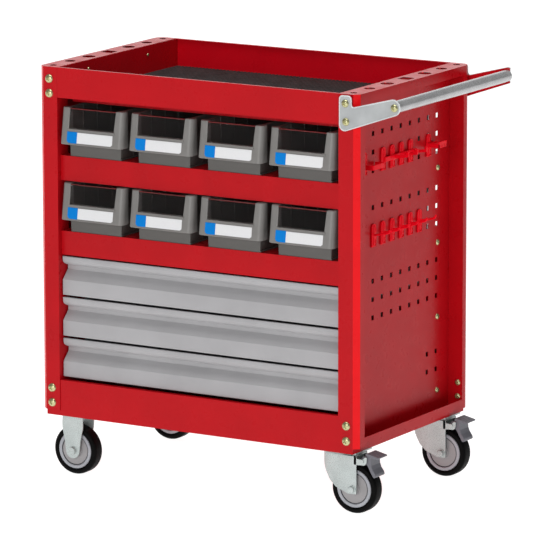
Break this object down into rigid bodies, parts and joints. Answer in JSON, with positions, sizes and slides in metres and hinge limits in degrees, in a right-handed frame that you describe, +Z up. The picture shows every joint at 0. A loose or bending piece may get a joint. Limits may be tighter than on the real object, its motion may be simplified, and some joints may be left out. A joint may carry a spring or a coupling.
{
  "type": "rolling tool chest",
  "caption": "Sheet-metal tool trolley with a matted top tray, shelves of open bins, drawers, perforated sides with tool hooks, a push bar and braked casters.",
  "frame": {"origin": "on the floor under the middle of the body", "axes": "+X to the side with the push handle, -Y is the front with the drawers, +Z up"},
  "size_m": [0.863, 0.4934, 0.868],
  "materials": {
    "red_paint": "satin powder coat",
    "grey_paint": "satin powder coat",
    "silver": "satin",
    "tube_aluminium": "satin",
    "mat_rubber": "ribbed, matt",
    "bin_plastic": "moulded",
    "zinc": "zinc plated",
    "hub_plastic": "moulded",
    "tyre_rubber": "smooth tread",
    "pedal_plastic": "moulded"
  },
  "bodies": {
    "chest": {"side_frame_left": "red_paint", "side_frame_right": "red_paint", "side_panel_left": "red_paint", "side_panel_right": "red_paint", "top_tray": "red_paint", "bin_shelf_upper": "red_paint", "bin_shelf_lower": "red_paint", "base_pan": "red_paint", "back_panel": "red_paint", "ring_holder": "red_paint", "tool_rack": "red_paint", "fork_holder": "red_paint", "peg_hook_1": "red_paint", "peg_hook_2": "red_paint", "peg_hook_3": "red_paint", "peg_hook_4": "red_paint", "peg_hook_5": "red_paint", "peg_hook_6": "red_paint", "handle_bracket_front": "red_paint", "handle_bracket_rear": "red_paint", "handle_cover_front": "silver", "handle_cover_rear": "silver", "handle_tube": "tube_aluminium", "tray_mat": "mat_rubber", "drawer_runner_left_upper": "zinc", "drawer_runner_left_middle": "zinc", "drawer_runner_left_lower": "zinc", "drawer_runner_right_upper": "zinc", "drawer_runner_right_middle": "zinc", "drawer_runner_right_lower": "zinc", "fixed_caster_fork_front": "zinc", "swivel_caster_plate_front": "zinc", "fixed_caster_fork_rear": "zinc", "swivel_caster_plate_rear": "zinc"},
    "drawer_upper": {"drawer_front_upper": "grey_paint", "drawer_box_upper": "grey_paint"},
    "drawer_middle": {"drawer_front_middle": "grey_paint", "drawer_box_middle": "grey_paint"},
    "drawer_lower": {"drawer_front_lower": "grey_paint", "drawer_box_lower": "grey_paint"},
    "bin_upper_1": {"bin_upper_1": "bin_plastic"},
    "bin_upper_2": {"bin_upper_2": "bin_plastic"},
    "bin_upper_3": {"bin_upper_3": "bin_plastic"},
    "bin_upper_4": {"bin_upper_4": "bin_plastic"},
    "bin_lower_1": {"bin_lower_1": "bin_plastic"},
    "bin_lower_2": {"bin_lower_2": "bin_plastic"},
    "bin_lower_3": {"bin_lower_3": "bin_plastic"},
    "bin_lower_4": {"bin_lower_4": "bin_plastic"},
    "fixed_wheel_front": {"fixed_caster_hub_front": "hub_plastic", "fixed_caster_tyre_front": "tyre_rubber"},
    "swivel_fork_front": {"swivel_caster_fork_front": "zinc"},
    "swivel_wheel_front": {"swivel_caster_hub_front": "hub_plastic", "swivel_caster_tyre_front": "tyre_rubber"},
    "brake_pedal_front": {"brake_pedal_front": "pedal_plastic"},
    "fixed_wheel_rear": {"fixed_caster_hub_rear": "hub_plastic", "fixed_caster_tyre_rear": "tyre_rubber"},
    "swivel_fork_rear": {"swivel_caster_fork_rear": "zinc"},
    "swivel_wheel_rear": {"swivel_caster_hub_rear": "hub_plastic", "swivel_caster_tyre_rear": "tyre_rubber"},
    "brake_pedal_rear": {"brake_pedal_rear": "pedal_plastic"}
  },
  "joints": [
    {"name": "drawer_upper_slide", "type": "slide", "parent": "chest", "child": "drawer_upper", "axis": [0, -1, 0], "range_m": [0, 0.35]},
    {"name": "drawer_middle_slide", "type": "slide", "parent": "chest", "child": "drawer_middle", "axis": [0, -1, 0], "range_m": [0, 0.35]},
    {"name": "drawer_lower_slide", "type": "slide", "parent": "chest", "child": "drawer_lower", "axis": [0, -1, 0], "range_m": [0, 0.35]},
    {"name": "bin_upper_1_lift_out", "type": "slide", "parent": "chest", "child": "bin_upper_1", "axis": [0, -1, 0], "range_m": [0, 0.42]},
    {"name": "bin_upper_2_lift_out", "type": "slide", "parent": "chest", "child": "bin_upper_2", "axis": [0, -1, 0], "range_m": [0, 0.42]},
    {"name": "bin_upper_3_lift_out", "type": "slide", "parent": "chest", "child": "bin_upper_3", "axis": [0, -1, 0], "range_m": [0, 0.42]},
    {"name": "bin_upper_4_lift_out", "type": "slide", "parent": "chest", "child": "bin_upper_4", "axis": [0, -1, 0], "range_m": [0, 0.42]},
    {"name": "bin_lower_1_lift_out", "type": "slide", "parent": "chest", "child": "bin_lower_1", "axis": [0, -1, 0], "range_m": [0, 0.42]},
    {"name": "bin_lower_2_lift_out", "type": "slide", "parent": "chest", "child": "bin_lower_2", "axis": [0, -1, 0], "range_m": [0, 0.42]},
    {"name": "bin_lower_3_lift_out", "type": "slide", "parent": "chest", "child": "bin_lower_3", "axis": [0, -1, 0], "range_m": [0, 0.42]},
    {"name": "bin_lower_4_lift_out", "type": "slide", "parent": "chest", "child": "bin_lower_4", "axis": [0, -1, 0], "range_m": [0, 0.42]},
    {"name": "fixed_wheel_front_spin", "type": "hinge", "parent": "chest", "child": "fixed_wheel_front", "pos_m": [-0.322, -0.187, 0.052], "axis": [0, 1, 0], "continuous": true},
    {"name": "caster_swivel_front", "type": "hinge", "parent": "chest", "child": "swivel_fork_front", "pos_m": [0.322, -0.187, 0.12], "axis": [0, 0, 1], "continuous": true},
    {"name": "swivel_wheel_front_spin", "type": "hinge", "parent": "swivel_fork_front", "child": "swivel_wheel_front", "pos_m": [0.3536, -0.187, 0.052], "axis": [0, 1, 0], "continuous": true},
    {"name": "brake_pedal_front_tip", "type": "hinge", "parent": "swivel_fork_front", "child": "brake_pedal_front", "pos_m": [0.378, -0.187, 0.113], "axis": [0, 1, 0], "range_deg": [0, 5]},
    {"name": "fixed_wheel_rear_spin", "type": "hinge", "parent": "chest", "child": "fixed_wheel_rear", "pos_m": [-0.322, 0.187, 0.052], "axis": [0, 1, 0], "continuous": true},
    {"name": "caster_swivel_rear", "type": "hinge", "parent": "chest", "child": "swivel_fork_rear", "pos_m": [0.322, 0.187, 0.12], "axis": [0, 0, 1], "continuous": true},
    {"name": "swivel_wheel_rear_spin", "type": "hinge", "parent": "swivel_fork_rear", "child": "swivel_wheel_rear", "pos_m": [0.3536, 0.187, 0.052], "axis": [0, 1, 0], "continuous": true},
    {"name": "brake_pedal_rear_tip", "type": "hinge", "parent": "swivel_fork_rear", "child": "brake_pedal_rear", "pos_m": [0.378, 0.187, 0.113], "axis": [0, 1, 0], "range_deg": [0, 5]}
  ]
}
